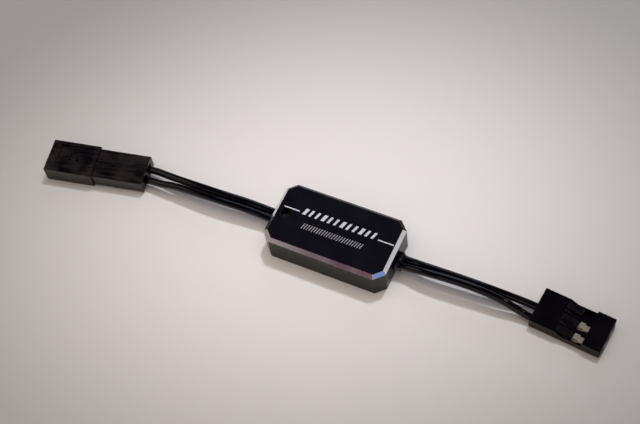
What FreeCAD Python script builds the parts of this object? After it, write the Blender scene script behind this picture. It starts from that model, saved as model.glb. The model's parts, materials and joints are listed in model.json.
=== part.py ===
"""Inline voltage booster: machined case, circuit board, two leads, servo plug, two-way socket.

Row frame, millimetres: origin at the middle of the case's underside, +X along the case towards
the input plug, +Y across it, +Z up.  The plug and the socket are drawn in frames of their own,
with local X running from the wire end to the mating end, and are then placed.
"""
import FreeCAD, Part
import math
import os

import Sketcher

Vector = FreeCAD.Vector
AXIS_X = Vector(1, 0, 0)
AXIS_Z = Vector(0, 0, 1)
TOLERANCE = 1e-4

# Driving sizes.  Each one is written once, here, and reaches the model through the spreadsheet.
SIZES = {
    # machined case and its cover
    "case_length": 25.6, "case_width": 13.8, "case_height": 6.3,
    "case_chamfer": 0.7, "case_clip": 1.85, "case_wall": 1.1, "case_roof": 1.1,
    "cover_thickness": 0.8, "cover_ledge": 0.5, "cover_gap": 0.05,
    "rim_width": 0.7, "rim_height": 0.3,
    "lamp_hole_diameter": 1.9, "lamp_hole_x": -10.3, "edge_break": 0.15,
    # leads, and where they pass through the end walls
    "wire_diameter": 1.5, "strand_diameter": 0.76, "wire_exit_height": 2.65, "wire_gap": 0.05,
    "input_exit_gap": 0.1, "output_exit_gap": 0.36, "strip_x": 9.0,
    "seal_wall": 0.3, "seal_gap": 0.04, "seal_inset": 0.1,
    "input_collar_length": 1.35, "input_collar_wall": 0.25,
    "output_collar_length": 0.2, "output_collar_wall": 0.12, "collar_round": 0.12,
    # circuit board and what it carries
    "board_length": 22.6, "board_width": 10.8, "board_thickness": 0.8, "board_clip": 1.6,
    "thermal_pad_length": 12.0, "thermal_pad_width": 8.0, "thermal_pad_x": 3.0,
    "coil_size": 5.0, "coil_height": 2.2, "coil_corner": 0.6, "coil_wall": 0.25,
    "coil_x": -1.5, "coil_y": 2.6, "drum_diameter": 4.3, "drum_post": 1.8,
    "flange_thickness": 0.45, "winding_gap": 0.1,
    "chip_length": 2.9, "chip_width": 1.6, "chip_height": 1.1, "chip_x": 3.2, "chip_y": -2.7,
    "lead_pitch": 0.95, "lead_width": 0.4, "lead_reach": 0.6, "lead_thickness": 0.15,
    "lead_height": 0.55,
    "diode_length": 2.7, "diode_width": 1.6, "diode_height": 1.1, "diode_x": -3.2,
    "diode_y": -3.3, "tab_reach": 0.5, "tab_thickness": 0.2, "tab_width": 1.0,
    "capacitor_length": 3.2, "capacitor_width": 1.6, "capacitor_height": 1.5,
    "capacitor_cap": 0.5, "input_capacitor_x": 4.6, "input_capacitor_y": 3.5,
    "output_capacitor_x": -6.6, "output_capacitor_y": 3.5,
    "resistor_length": 1.6, "resistor_width": 0.8, "resistor_height": 0.45,
    "resistor_cap": 0.3, "resistor_x": 0.1, "resistor_y": -1.5, "resistor_pitch": 1.45,
    "lamp_length": 1.6, "lamp_width": 0.8, "lamp_base_height": 0.3, "lens_height": 0.4,
    "lens_length": 1.0,
    "joint_base": 1.5, "joint_tip": 0.9, "joint_height": 1.25, "strand_length": 1.4,
    # three-way servo plug on the input lead
    "contact_pitch": 2.54,
    "plug_x": 40.36, "plug_y": 1.38, "plug_turn": -5.44,
    "plug_length": 14.0, "plug_width": 7.5, "plug_height": 2.6,
    "cell_width": 1.9, "cell_slack": 0.1, "nose_wall": 0.8, "pin_hole": 1.0,
    "pin_hole_bevel": 0.2, "plug_bevel": 0.3, "nose_round": 0.2,
    "finger_ease": 0.2, "finger_root": 4.9, "finger_length": 3.2, "finger_width": 1.5, "finger_thickness": 0.5,
    "lip_length": 0.5, "lip_drop": 0.2, "web_length": 1.6,
    "ramp_drop": 0.65, "shelf_drop": 0.9, "nose_start": 10.4, "finger_hook": 0.25,
    "plug_wire_seat": 2.0,
    # contacts of the plug
    "contact_width": 1.5, "contact_height": 1.35,
    "barrel_length": 2.4, "barrel_width": 1.3, "neck_length": 1.0, "neck_height": 0.35,
    "low_box_height": 0.6, "finger_seat": 0.28, "contact_tip_gap": 0.3,
    "box_step": 0.28, "box_step_length": 1.0, "box_hole": 0.9, "box_hole_depth": 4.0,
    # two-way socket on the output lead
    "socket_x": -42.155, "socket_y": -0.324, "socket_turn": 191.29,
    "rear_length": 10.8, "rear_width": 6.8, "rear_height": 3.0,
    "sleeve_length": 10.2, "sleeve_width": 7.4, "sleeve_height": 3.8,
    "sleeve_side_wall": 0.6, "sleeve_wall": 0.55, "sleeve_depth": 9.0, "socket_round": 0.2,
    "socket_cell": 1.9, "bulkhead": 2.4, "socket_wire_seat": 2.4,
    "tray_margin": 0.85, "tray_start": 1.0, "tray_end": 1.9, "tray_depth": 0.25,
    "latch_slit_length": 0.45, "latch_slit_width": 1.1, "latch_tab_length": 1.1,
    "latch_from_end": 5.4, "mark_length": 2.7, "mark_drop": 0.85, "mark_line": 0.35,
    "mark_gap": 0.2, "mark_depth": 0.12,
    "key_height": 0.2, "key_start": 0.4, "key_length": 9.6, "key_back": -0.6, "key_front": 2.9,
    "key_bevel": 0.17,
    "lance_window_length": 2.0, "lance_window_width": 1.2, "lance_window_start": 5.6,
    "lance_length": 1.5, "lance_width": 0.8, "lance_drop": 0.45, "lance_thickness": 0.25,
    # pins of the socket
    "pin_size": 0.64, "pin_gap": 0.05, "pin_length": 6.6, "pin_point": 0.2,
    "pin_box_width": 1.6, "pin_box_height": 1.5, "pin_box_gap": 0.15,
}

# Routes of the four wires, chosen by hand: from the stripped end inside the case out to the last
# free point.  The two points on the connector's own axis are added from the connector's place.
INPUT_BACK_ROUTE = [(19.0, 1.05, 2.3), (24.2, 1.42, 1.85), (29.8, 1.62, 1.5), (35.0, 1.6, 1.36)]
INPUT_FRONT_ROUTE = [
    (19.0, -0.4, 2.8), (24.2, 0.05, 2.65), (29.4, 0.3, 2.3), (33.6, 0.12, 1.95), (36.9, -0.4, 1.5),
]
OUTPUT_BACK_ROUTE = [
    (-19.2, 1.1, 2.75), (-24.8, 0.98, 2.8), (-30.6, 0.9, 2.65), (-36.2, 0.88, 2.3),
]
OUTPUT_FRONT_ROUTE = [
    (-19.2, -0.6, 2.65), (-24.8, -0.72, 2.55), (-30.4, -0.82, 2.4), (-35.2, -0.92, 2.1),
    (-38.6, -1.3, 1.95),
]
ROUTE_WIRE = 1.5        # wire that the routes are drawn for: thicker ones lie further apart
EXIT_REACH = 1.2        # from the case's end wall to the point where a wire may start to bend
PLUG_LEAD_OUT = 0.8     # straight wire left outside the plug and the socket
ARC_SHARE = 0.45        # share of the shorter run that an arc takes up

doc = FreeCAD.newDocument("voltage_booster")


def make_sheet():
    """Write every driving size into the spreadsheet, one aliased cell each."""
    sheet = doc.addObject("Spreadsheet::Sheet", "dims")
    for row, (alias, size) in enumerate(SIZES.items(), start=1):
        sheet.set(f"A{row}", alias.replace("_", " "))
        sheet.set(f"B{row}", str(size))
        sheet.setAlias(f"B{row}", alias)
    doc.recompute()
    return sheet


sheet = make_sheet()


def size(alias):
    """Read one driving size back from the spreadsheet."""
    return float(sheet.get(alias))


# ---------------------------------------------------------------- sketches and features

def new_body(node):
    """Start a body that carries the node's name."""
    body = doc.addObject("PartDesign::Body", node)
    body.Label = node
    return body


def sketch_on(body, role, lift=None):
    """Attach a new sketch to one of the body's own planes, lifted along its normal."""
    sketch = body.newObject("Sketcher::SketchObject", f"{body.Label}_sketch")
    origin_plane = next(item for item in body.Origin.OriginFeatures if item.Role == role)
    sketch.AttachmentSupport = [(origin_plane, "")]
    sketch.MapMode = "FlatFace"
    if lift is not None:
        sketch.setExpression("AttachmentOffset.Base.z", lift)
    return sketch


def place_point(sketch, geometry, point, across, along):
    """Tie one point of the sketch to its two distances from the sketch's origin."""
    for direction, expression in (("X", across), ("Y", along)):
        constraint = Sketcher.Constraint(f"Distance{direction}", -1, 1, geometry, point, 1.0)
        index = sketch.addConstraint(constraint)
        name = f"g{geometry}p{point}{direction}"
        sketch.renameConstraint(index, name)
        sketch.setExpression(f"Constraints.{name}", expression)


def outline(sketch, corners):
    """Draw a closed straight-sided outline through corners given as pairs of expressions."""
    first = sketch.GeometryCount
    count = len(corners)
    ring = [
        Vector(math.cos(2 * math.pi * i / count), math.sin(2 * math.pi * i / count), 0)
        for i in range(count)
    ]
    for i in range(count):
        sketch.addGeometry(Part.LineSegment(ring[i], ring[(i + 1) % count]), False)
    for i in range(count):
        following = first + (i + 1) % count
        sketch.addConstraint(Sketcher.Constraint("Coincident", first + i, 2, following, 1))
    for i, (across, along) in enumerate(corners):
        place_point(sketch, first + i, 1, across, along)


def rectangle(sketch, centre_x, centre_y, size_x, size_y):
    """Draw a rectangle by its centre and its sizes."""
    left, right = f"{centre_x} - ({size_x}) / 2", f"{centre_x} + ({size_x}) / 2"
    low, high = f"{centre_y} - ({size_y}) / 2", f"{centre_y} + ({size_y}) / 2"
    outline(sketch, [(left, low), (right, low), (right, high), (left, high)])


def octagon(sketch, half_x, half_y, clip):
    """Draw a rectangle about the origin with its four corners cut at 45 degrees."""
    half_x, half_y = f"({half_x})", f"({half_y})"
    inner_x, inner_y = f"({half_x} - ({clip}))", f"({half_y} - ({clip}))"
    quarter = [(half_x, inner_y), (inner_x, half_y)]
    corners = [
        quarter[0], quarter[1],
        (f"-{inner_x}", half_y), (f"-{half_x}", inner_y),
        (f"-{half_x}", f"-{inner_y}"), (f"-{inner_x}", f"-{half_y}"),
        (inner_x, f"-{half_y}"), (half_x, f"-{inner_y}"),
    ]
    outline(sketch, corners)


def disc(sketch, centre_x, centre_y, diameter):
    """Draw a circle by its centre and its diameter."""
    geometry = sketch.addGeometry(Part.Circle(Vector(0, 0, 0), AXIS_Z, 1.0), False)
    place_point(sketch, geometry, 3, centre_x, centre_y)
    index = sketch.addConstraint(Sketcher.Constraint("Diameter", geometry, 2.0))
    sketch.renameConstraint(index, f"g{geometry}diameter")
    sketch.setExpression(f"Constraints.g{geometry}diameter", diameter)


def racetrack(sketch, pitch, radius, centre_y):
    """Draw two half circles a pitch apart, joined by straight lines."""
    first = sketch.GeometryCount
    quarter = math.pi / 2
    right_circle = Part.Circle(Vector(1, 0, 0), AXIS_Z, 1.0)
    left_circle = Part.Circle(Vector(-1, 0, 0), AXIS_Z, 1.0)
    sketch.addGeometry(Part.ArcOfCircle(right_circle, -quarter, quarter), False)
    sketch.addGeometry(Part.LineSegment(Vector(1, 1, 0), Vector(-1, 1, 0)), False)
    sketch.addGeometry(Part.ArcOfCircle(left_circle, quarter, 3 * quarter), False)
    sketch.addGeometry(Part.LineSegment(Vector(-1, -1, 0), Vector(1, -1, 0)), False)
    for i in range(4):
        following = first + (i + 1) % 4
        sketch.addConstraint(Sketcher.Constraint("Tangent", first + i, 2, following, 1))
    sketch.addConstraint(Sketcher.Constraint("Horizontal", first + 1))
    sketch.addConstraint(Sketcher.Constraint("Equal", first, first + 2))
    place_point(sketch, first, 3, f"({pitch}) / 2", centre_y)
    across = sketch.addConstraint(
        Sketcher.Constraint("DistanceX", -1, 1, first + 2, 3, -1.0))
    sketch.renameConstraint(across, "far_centre")
    sketch.setExpression("Constraints.far_centre", f"-({pitch}) / 2")
    index = sketch.addConstraint(Sketcher.Constraint("Radius", first, 1.0))
    sketch.renameConstraint(index, "end_radius")
    sketch.setExpression("Constraints.end_radius", radius)


def volume_of(body):
    """Volume of the body as it stands."""
    return 0.0 if body.Shape.isNull() else body.Shape.Volume


def pad(body, sketch, length, symmetric=False, backwards=False):
    """Extrude a sketch and make sure that it added material."""
    before = volume_of(body)
    feature = body.newObject("PartDesign::Pad", f"{body.Label}_pad")
    feature.Profile = sketch
    feature.SideType = "Symmetric" if symmetric else "One side"
    feature.Reversed = backwards
    feature.setExpression("Length", length)
    doc.recompute()
    if not volume_of(body) > before + TOLERANCE:
        raise RuntimeError(f"{body.Label}: a pad added nothing")
    return feature


def pocket(body, sketch, length=None, forwards=False, symmetric=False):
    """Cut a sketch away, through all when no length is given, and make sure that it cut."""
    before = volume_of(body)
    feature = body.newObject("PartDesign::Pocket", f"{body.Label}_pocket")
    feature.Profile = sketch
    feature.SideType = "Symmetric" if symmetric else "One side"
    feature.Reversed = forwards
    if length is None:
        feature.Type = "ThroughAll"
    else:
        feature.setExpression("Length", length)
    doc.recompute()
    if not volume_of(body) < before - TOLERANCE:
        raise RuntimeError(f"{body.Label}: a pocket cut nothing")
    return feature


def edges_where(shape, wanted):
    """Names of the edges that a test picks."""
    return [f"Edge{i}" for i, edge in enumerate(shape.Edges, start=1) if wanted(edge)]


def dress(body, kind, prop, expression, wanted):
    """Chamfer or fillet the edges of the body's last feature that a test picks."""
    base = body.Tip
    names = edges_where(base.Shape, wanted)
    if not names:
        raise RuntimeError(f"{body.Label}: no edge to dress")
    feature = body.newObject(f"PartDesign::{kind}", f"{body.Label}_{kind.lower()}")
    feature.Base = (base, names)
    feature.setExpression(prop, expression)
    doc.recompute()
    return feature


def chamfer(body, width, wanted):
    """Bevel edges at 45 degrees."""
    return dress(body, "Chamfer", "Size", width, wanted)


def fillet(body, radius, wanted):
    """Round edges."""
    return dress(body, "Fillet", "Radius", radius, wanted)


def runs_along(edge, axis):
    """True for a straight edge parallel to an axis."""
    if not isinstance(edge.Curve, Part.Line):
        return False
    return abs(abs(edge.Curve.Direction.dot(axis)) - 1) < TOLERANCE


def near(value, target):
    """True when two lengths agree."""
    return abs(value - target) < TOLERANCE


def lies_at_height(edge, height):
    """True for an edge that lies wholly at one height of its own frame."""
    return near(edge.BoundBox.ZMin, height) and near(edge.BoundBox.ZMax, height)


def lies_at_reach(edge, reach):
    """True for an edge that lies wholly at one distance along its own X axis."""
    return near(edge.BoundBox.XMin, reach) and near(edge.BoundBox.XMax, reach)


def box(node, corner, sizes):
    """A Part::Box with its corner and its sizes given as expressions."""
    block = doc.addObject("Part::Box", node)
    block.Label = node
    for prop, expression in zip(("Length", "Width", "Height"), sizes):
        block.setExpression(prop, expression)
    for letter, expression in zip("xyz", corner):
        block.setExpression(f"Placement.Base.{letter}", expression)
    return block


def centred_box(node, centre_x, centre_y, base, sizes):
    """A Part::Box by the centre of its plan and the height of its base."""
    corner = (f"{centre_x} - ({sizes[0]}) / 2", f"{centre_y} - ({sizes[1]}) / 2", base)
    return box(node, corner, sizes)


def rod(node, diameter, length, start, direction):
    """A Part::Cylinder that starts at a point and runs along a direction."""
    cylinder = doc.addObject("Part::Cylinder", node)
    cylinder.Label = node
    cylinder.setExpression("Radius", f"({diameter}) / 2")
    cylinder.setExpression("Height", length)
    cylinder.Placement = FreeCAD.Placement(start, FreeCAD.Rotation(AXIS_Z, direction))
    return cylinder


def cut(node, base, tool):
    """A Part::Cut of two objects."""
    result = doc.addObject("Part::Cut", node)
    result.Label = node
    result.Base = base
    result.Tool = tool
    return result


def group(node, members):
    """Several like solids that share one node."""
    compound = doc.addObject("Part::Compound", node)
    compound.Label = node
    compound.Links = members
    return compound


# ---------------------------------------------------------------- case

BOARD_UNDERSIDE = "(dims.wire_exit_height + dims.wire_diameter / 2 + dims.wire_gap)"
BOARD_TOP = f"({BOARD_UNDERSIDE} + dims.board_thickness)"
ROOF_UNDERSIDE = "(dims.case_height - dims.case_roof)"
SEAL_RADIUS = "(dims.wire_diameter / 2 + dims.seal_wall)"
CORNER_EASE = 2 - math.sqrt(2)     # how fast a 45 degree corner shrinks as its outline is inset


def exit_pitch(lead):
    """Distance between the middles of a lead's two wires where they leave the case."""
    return f"(dims.wire_diameter + dims.{lead}_exit_gap)"


def case_outline(sketch, inset):
    """The case's eight-sided outline, moved inwards by an inset."""
    octagon(
        sketch,
        f"dims.case_length / 2 - ({inset})",
        f"dims.case_width / 2 - ({inset})",
        f"dims.case_clip - {CORNER_EASE} * ({inset})",
    )


def make_case_shell():
    """Case milled from one block: bevelled rim, cavity, cover rebate, wire slots, lamp hole."""
    body = new_body("case_shell")
    blank = sketch_on(body, "XY_Plane")
    case_outline(blank, "0")
    pad(body, blank, "dims.case_height")
    top = size("case_height")
    chamfer(body, "dims.case_chamfer", lambda edge: lies_at_height(edge, top))

    cavity = sketch_on(body, "XY_Plane")
    case_outline(cavity, "dims.case_wall")
    pocket(body, cavity, ROOF_UNDERSIDE, forwards=True)
    rebate = sketch_on(body, "XY_Plane")
    case_outline(rebate, "dims.case_wall - dims.cover_ledge")
    pocket(body, rebate, "dims.cover_thickness", forwards=True)

    input_slot = sketch_on(body, "YZ_Plane")
    racetrack(input_slot, exit_pitch("input"), SEAL_RADIUS, "dims.wire_exit_height")
    pocket(body, input_slot, forwards=True)
    output_slot = sketch_on(body, "YZ_Plane")
    racetrack(output_slot, exit_pitch("output"), SEAL_RADIUS, "dims.wire_exit_height")
    pocket(body, output_slot)

    lamp_hole = sketch_on(body, "XY_Plane")
    disc(lamp_hole, "dims.lamp_hole_x", "0", "dims.lamp_hole_diameter")
    pocket(body, lamp_hole, forwards=True)
    chamfer(
        body, "dims.edge_break",
        lambda edge: lies_at_height(edge, top) and isinstance(edge.Curve, Part.Circle),
    )
    return body


def make_bottom_cover():
    """Flat cover that drops into the case's rebate, with a rim that centres it in the cavity."""
    body = new_body("bottom_cover")
    plate = sketch_on(body, "XY_Plane")
    case_outline(plate, "dims.case_wall - dims.cover_ledge + dims.cover_gap")
    pad(body, plate, "dims.cover_thickness")
    chamfer(body, "dims.edge_break", lambda edge: lies_at_height(edge, 0.0))
    rim = sketch_on(body, "XY_Plane", "dims.cover_thickness")
    case_outline(rim, "dims.case_wall + dims.cover_gap")
    case_outline(rim, "dims.case_wall + dims.cover_gap + dims.rim_width")
    pad(body, rim, "dims.rim_height")
    return body


def make_seal(node, side, pitch, collar_length, collar_wall):
    """Rubber wire seal: a plug in the end wall's slot, with a rounded collar outside it.

    The seal is drawn pointing along +X and turned about +Z for the other end of the case.
    """
    body = new_body(node)
    inner_end = "dims.case_length / 2 - dims.case_wall - dims.seal_inset"
    stem = sketch_on(body, "YZ_Plane", inner_end)
    racetrack(stem, pitch, f"{SEAL_RADIUS} - dims.seal_gap", "dims.wire_exit_height")
    pad(body, stem, "dims.case_wall + dims.seal_inset")
    collar = sketch_on(body, "YZ_Plane", "dims.case_length / 2")
    racetrack(collar, pitch, f"{SEAL_RADIUS} + {collar_wall}", "dims.wire_exit_height")
    pad(body, collar, collar_length)
    outer_end = size("case_length") / 2 + size(collar_length.replace("dims.", ""))
    fillet(body, "dims.collar_round", lambda edge: lies_at_reach(edge, outer_end))
    bores = sketch_on(body, "YZ_Plane")
    for sign in ("-", ""):
        disc(bores, f"{sign}{pitch} / 2", "dims.wire_exit_height",
             "dims.wire_diameter + dims.seal_gap")
    pocket(body, bores, forwards=True)
    if side < 0:
        body.Placement = FreeCAD.Placement(Vector(0, 0, 0), FreeCAD.Rotation(AXIS_Z, 180))
    return body


# ---------------------------------------------------------------- board and components

def make_circuit_board():
    """Board with clipped corners, held a wire's radius above the leads' axes."""
    body = new_body("circuit_board")
    plan = sketch_on(body, "XY_Plane", BOARD_UNDERSIDE)
    octagon(plan, "dims.board_length / 2", "dims.board_width / 2", "dims.board_clip")
    pad(body, plan, "dims.board_thickness")
    return body


def make_thermal_pad():
    """Soft pad that fills the gap from the board to the case's roof and carries heat to it."""
    gap = f"{ROOF_UNDERSIDE} - {BOARD_TOP}"
    sizes = ("dims.thermal_pad_length", "dims.thermal_pad_width", gap)
    return centred_box("thermal_pad", "dims.thermal_pad_x", "0", BOARD_TOP, sizes)


def hang_under_board(body, across, along):
    """Turn a component drawn standing on XY so that it hangs from the board's underside."""
    body.Placement = FreeCAD.Placement(Vector(0, 0, 0), FreeCAD.Rotation(AXIS_X, 180))
    body.setExpression("Placement.Base.x", across)
    body.setExpression("Placement.Base.y", along)
    body.setExpression("Placement.Base.z", BOARD_UNDERSIDE)


def make_coil():
    """Shielded boost inductor: square ferrite ring, drum core and the winding between flanges."""
    shield = new_body("coil_shield")
    square = sketch_on(shield, "XY_Plane")
    octagon(square, "dims.coil_size / 2", "dims.coil_size / 2", "dims.coil_corner")
    disc(square, "0", "0", "dims.drum_diameter + dims.winding_gap")
    pad(shield, square, "dims.coil_height")

    core = new_body("coil_core")
    section = sketch_on(core, "XZ_Plane")
    flange, post = "dims.drum_diameter / 2", "dims.drum_post / 2"
    neck_top = "dims.coil_height - dims.flange_thickness"
    outline(section, [
        ("0", "0"), (flange, "0"), (flange, "dims.flange_thickness"),
        (post, "dims.flange_thickness"), (post, neck_top), (flange, neck_top),
        (flange, "dims.coil_height"), ("0", "dims.coil_height"),
    ])
    drum = core.newObject("PartDesign::Revolution", "coil_core_revolution")
    drum.Profile = section
    drum.ReferenceAxis = (section, ["V_Axis"])
    drum.Angle = 360

    winding = new_body("coil_winding")
    ring = sketch_on(winding, "XY_Plane", "dims.flange_thickness")
    disc(ring, "0", "0", "dims.drum_diameter - dims.winding_gap")
    disc(ring, "0", "0", "dims.drum_post")
    pad(winding, ring, "dims.coil_height - 2 * dims.flange_thickness")
    for body in (shield, core, winding):
        hang_under_board(body, "dims.coil_x", "dims.coil_y")
    return [shield, core, winding]


def make_chip():
    """Converter chip: bevelled moulded body and six gull-wing legs."""
    chip = new_body("converter_chip")
    base = "dims.lead_thickness"
    plan = sketch_on(chip, "XY_Plane", base)
    rectangle(plan, "0", "0", "dims.chip_length", "dims.chip_width")
    pad(chip, plan, f"dims.chip_height - {base}")
    top = size("chip_height")
    chamfer(chip, "dims.edge_break", lambda edge: lies_at_height(edge, top))

    legs = new_body("chip_legs")
    profile = sketch_on(legs, "YZ_Plane")
    root, foot = "dims.chip_width / 2", "dims.chip_width / 2 + dims.lead_reach"
    knee = f"{root} + dims.lead_reach / 3"
    thick = "dims.lead_thickness"
    outline(profile, [
        (root, "dims.lead_height"), (root, f"dims.lead_height - {thick}"),
        (f"{knee} - {thick}", f"dims.lead_height - {thick}"), (f"{knee} - {thick}", "0"),
        (foot, "0"), (foot, thick), (knee, thick), (knee, "dims.lead_height"),
    ])
    pad(legs, profile, "dims.lead_width", symmetric=True)
    legs.AllowCompound = True
    row = [legs.Tip]
    centre = legs.Tip
    for backwards in (False, True):
        pattern = legs.newObject("PartDesign::LinearPattern", "chip_legs_row")
        pattern.Originals = [centre]
        pattern.Direction = (profile, ["N_Axis"])
        pattern.Reversed = backwards
        pattern.setExpression("Length", "dims.lead_pitch")
        pattern.Occurrences = 2
        legs.Tip = pattern
        row.append(pattern)
        doc.recompute()
    hang_under_board(chip, "dims.chip_x", "dims.chip_y")
    far_legs = doc.addObject("Part::Mirroring", "chip_legs_far")
    far_legs.Source = legs
    far_legs.Base = Vector(0, 0, 0)
    far_legs.Normal = Vector(0, 1, 0)
    both = group("chip_leads", [legs, far_legs])
    hang_under_board(both, "dims.chip_x", "dims.chip_y")
    return [chip, both]


def make_diode():
    """Rectifier diode: bevelled moulded body with a bent tab at each end."""
    diode = new_body("rectifier_diode")
    plan = sketch_on(diode, "XY_Plane", "dims.tab_thickness")
    rectangle(plan, "0", "0", "dims.diode_length", "dims.diode_width")
    pad(diode, plan, "dims.diode_height - dims.tab_thickness")
    top = size("diode_height")
    chamfer(diode, "dims.edge_break", lambda edge: lies_at_height(edge, top))
    hang_under_board(diode, "dims.diode_x", "dims.diode_y")

    tabs = []
    for sign, name in ((1, "near"), (-1, "far")):
        outer = f"{sign} * (dims.diode_length / 2 - dims.tab_reach / 2)"
        length = "dims.tab_reach * 2"
        tabs.append(centred_box(
            f"diode_tab_{name}",
            f"dims.diode_x + {outer}", "dims.diode_y", f"{BOARD_UNDERSIDE} - dims.tab_thickness",
            (length, "dims.tab_width", "dims.tab_thickness"),
        ))
    return [diode, group("diode_tabs", tabs)]


def chip_part(node, across, along, sizes, cap):
    """A ceramic chip part under the board: its body and its two plated ends."""
    length, width, height = sizes
    base = f"{BOARD_UNDERSIDE} - {height}"
    middle = centred_box(node, across, along, base, (f"{length} - 2 * {cap}", width, height))
    ends = []
    for sign, name in ((1, "near"), (-1, "far")):
        centre = f"{across} + {sign} * ({length} - {cap}) / 2"
        ends.append(centred_box(f"{node}_{name}_end", centre, along, base, (cap, width, height)))
    return middle, ends


def make_ceramic_parts():
    """Input and output capacitors and the three resistors that set the output voltage."""
    capacitor = ("dims.capacitor_length", "dims.capacitor_width", "dims.capacitor_height")
    resistor = ("dims.resistor_length", "dims.resistor_width", "dims.resistor_height")
    parts, capacitor_ends = [], []
    for node in ("input_capacitor", "output_capacitor"):
        middle, ends = chip_part(node, f"dims.{node}_x", f"dims.{node}_y", capacitor,
                                 "dims.capacitor_cap")
        parts.append(middle)
        capacitor_ends += ends
    bodies, resistor_ends = [], []
    for i in range(3):
        along = f"dims.resistor_y - {i} * dims.resistor_pitch"
        middle, ends = chip_part(f"resistor_{i + 1}", "dims.resistor_x", along, resistor,
                                 "dims.resistor_cap")
        bodies.append(middle)
        resistor_ends += ends
    parts.append(group("capacitor_ends", capacitor_ends))
    parts.append(group("divider_resistors", bodies))
    parts.append(group("resistor_ends", resistor_ends))
    return parts


def make_lamp():
    """Indicator lamp on the board's upper side, right under the hole in the case's roof."""
    base = centred_box("indicator_lamp", "dims.lamp_hole_x", "0", BOARD_TOP,
                       ("dims.lamp_length", "dims.lamp_width", "dims.lamp_base_height"))
    lens = centred_box("lamp_lens", "dims.lamp_hole_x", "0",
                       f"{BOARD_TOP} + dims.lamp_base_height",
                       ("dims.lens_length", "dims.lamp_width", "dims.lens_height"))
    return [base, lens]


# ---------------------------------------------------------------- leads

def plug_point(along, across):
    """A point on a cell's axis of the input plug, from plug distances to the row frame."""
    return connector_point("plug", along, across, cell_axis_height())


def socket_point(along, across):
    """A point on a cell's axis of the output socket, in the row frame."""
    return connector_point("socket", along, across, size("sleeve_height") / 2)


def connector_placement(name):
    """Where a connector's own frame lies in the row frame."""
    turn = FreeCAD.Rotation(AXIS_Z, size(f"{name}_turn"))
    return FreeCAD.Placement(Vector(size(f"{name}_x"), size(f"{name}_y"), 0), turn)


def connector_point(name, along, across, height):
    """A point of a connector's own frame, in the row frame."""
    return connector_placement(name).multVec(Vector(along, across, height))


def cell_axis_height():
    """Height of the plug's cell axes above its underside."""
    return size("plug_height") / 2


def exit_points(side, offset):
    """The stripped end inside the case and the point where the wire may start to bend."""
    height = size("wire_exit_height")
    bend = size("case_length") / 2 + EXIT_REACH
    return [
        Vector(side * size("strip_x"), offset, height),
        Vector(side * bend, offset, height),
    ]


def rounded_path(node, points):
    """Straight runs through the points, joined by tangent arcs as large as the runs allow."""
    edges = []
    start = points[0]
    radii = []
    for i in range(1, len(points) - 1):
        corner = points[i]
        inwards, outwards = corner - points[i - 1], points[i + 1] - corner
        half_turn = inwards.getAngle(outwards) / 2
        reach = ARC_SHARE * min(inwards.Length, outwards.Length)
        radius = reach / math.tan(half_turn)
        radii.append(radius)
        into, away = inwards.normalize(), outwards.normalize()
        first, last = corner - into * reach, corner + away * reach
        towards_centre = (away - into).normalize()
        centre = corner + towards_centre * math.hypot(radius, reach)
        middle = centre - towards_centre * radius
        edges.append(Part.LineSegment(start, first).toShape())
        edges.append(Part.Arc(first, middle, last).toShape())
        start = last
    edges.append(Part.LineSegment(start, points[-1]).toShape())
    print(f"{node}: bend radii", ", ".join(f"{radius:.1f}" for radius in radii), "mm")
    return Part.Wire(edges)


def make_wire(node, points):
    """One insulated wire as a plain round tube along its route."""
    path = doc.addObject("Part::Feature", f"{node}_path")
    path.Shape = rounded_path(node, points)
    section = doc.addObject("Part::Circle", f"{node}_section")
    section.setExpression("Radius", "dims.wire_diameter / 2")
    start_direction = points[1] - points[0]
    section.Placement = FreeCAD.Placement(
        points[0], FreeCAD.Rotation(AXIS_Z, start_direction))
    sweep = doc.addObject("Part::Sweep", node)
    sweep.Label = node
    sweep.Sections = [section]
    sweep.Spine = (path, [f"Edge{i}" for i in range(1, len(path.Shape.Edges) + 1)])
    sweep.Solid = True
    sweep.Frenet = False
    doc.recompute()
    expected = path.Shape.Length * math.pi * (size("wire_diameter") / 2) ** 2
    print(f"{node}: length {path.Shape.Length:.2f} mm,"
          f" volume {sweep.Shape.Volume:.3f} against {expected:.3f} mm3")
    if abs(sweep.Shape.Volume - expected) > 0.01 * expected:
        raise RuntimeError(f"{node}: the tube's volume is off")
    return sweep


def make_lead(name, side, point_of, offsets, routes, seat):
    """Both wires of a lead and the bare strands at their two ends.

    The strands at the board run on from the stripped end, those in the connector from the seat.
    """
    half_pitch = (size("wire_diameter") + size(f"{name}_exit_gap")) / 2
    spread = (size("wire_diameter") - ROUTE_WIRE) / 2
    wires, strands, board_ends = [], [], []
    for place, sign in (("back", 1), ("front", -1)):
        across = offsets[place]
        inner = exit_points(side, sign * half_pitch)
        outer = [point_of(-PLUG_LEAD_OUT, across), point_of(seat, across)]
        middle = [Vector(*point) + Vector(0, sign * spread, 0) for point in routes[place]]
        wires.append(make_wire(f"{name}_wire_{place}", inner + middle + outer))
        board_end = rod(f"{name}_{place}_board_strand", "dims.strand_diameter",
                        "dims.strand_length", inner[0], Vector(-side, 0, 0))
        axis = outer[1] - outer[0]
        crimp_end = rod(f"{name}_{place}_crimp_strand", "dims.strand_diameter",
                        "dims.barrel_length", outer[1], axis)
        board_ends.append(board_end)
        strands += [board_end, crimp_end]
    return wires, group(f"{name}_strands", strands), board_ends


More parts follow.
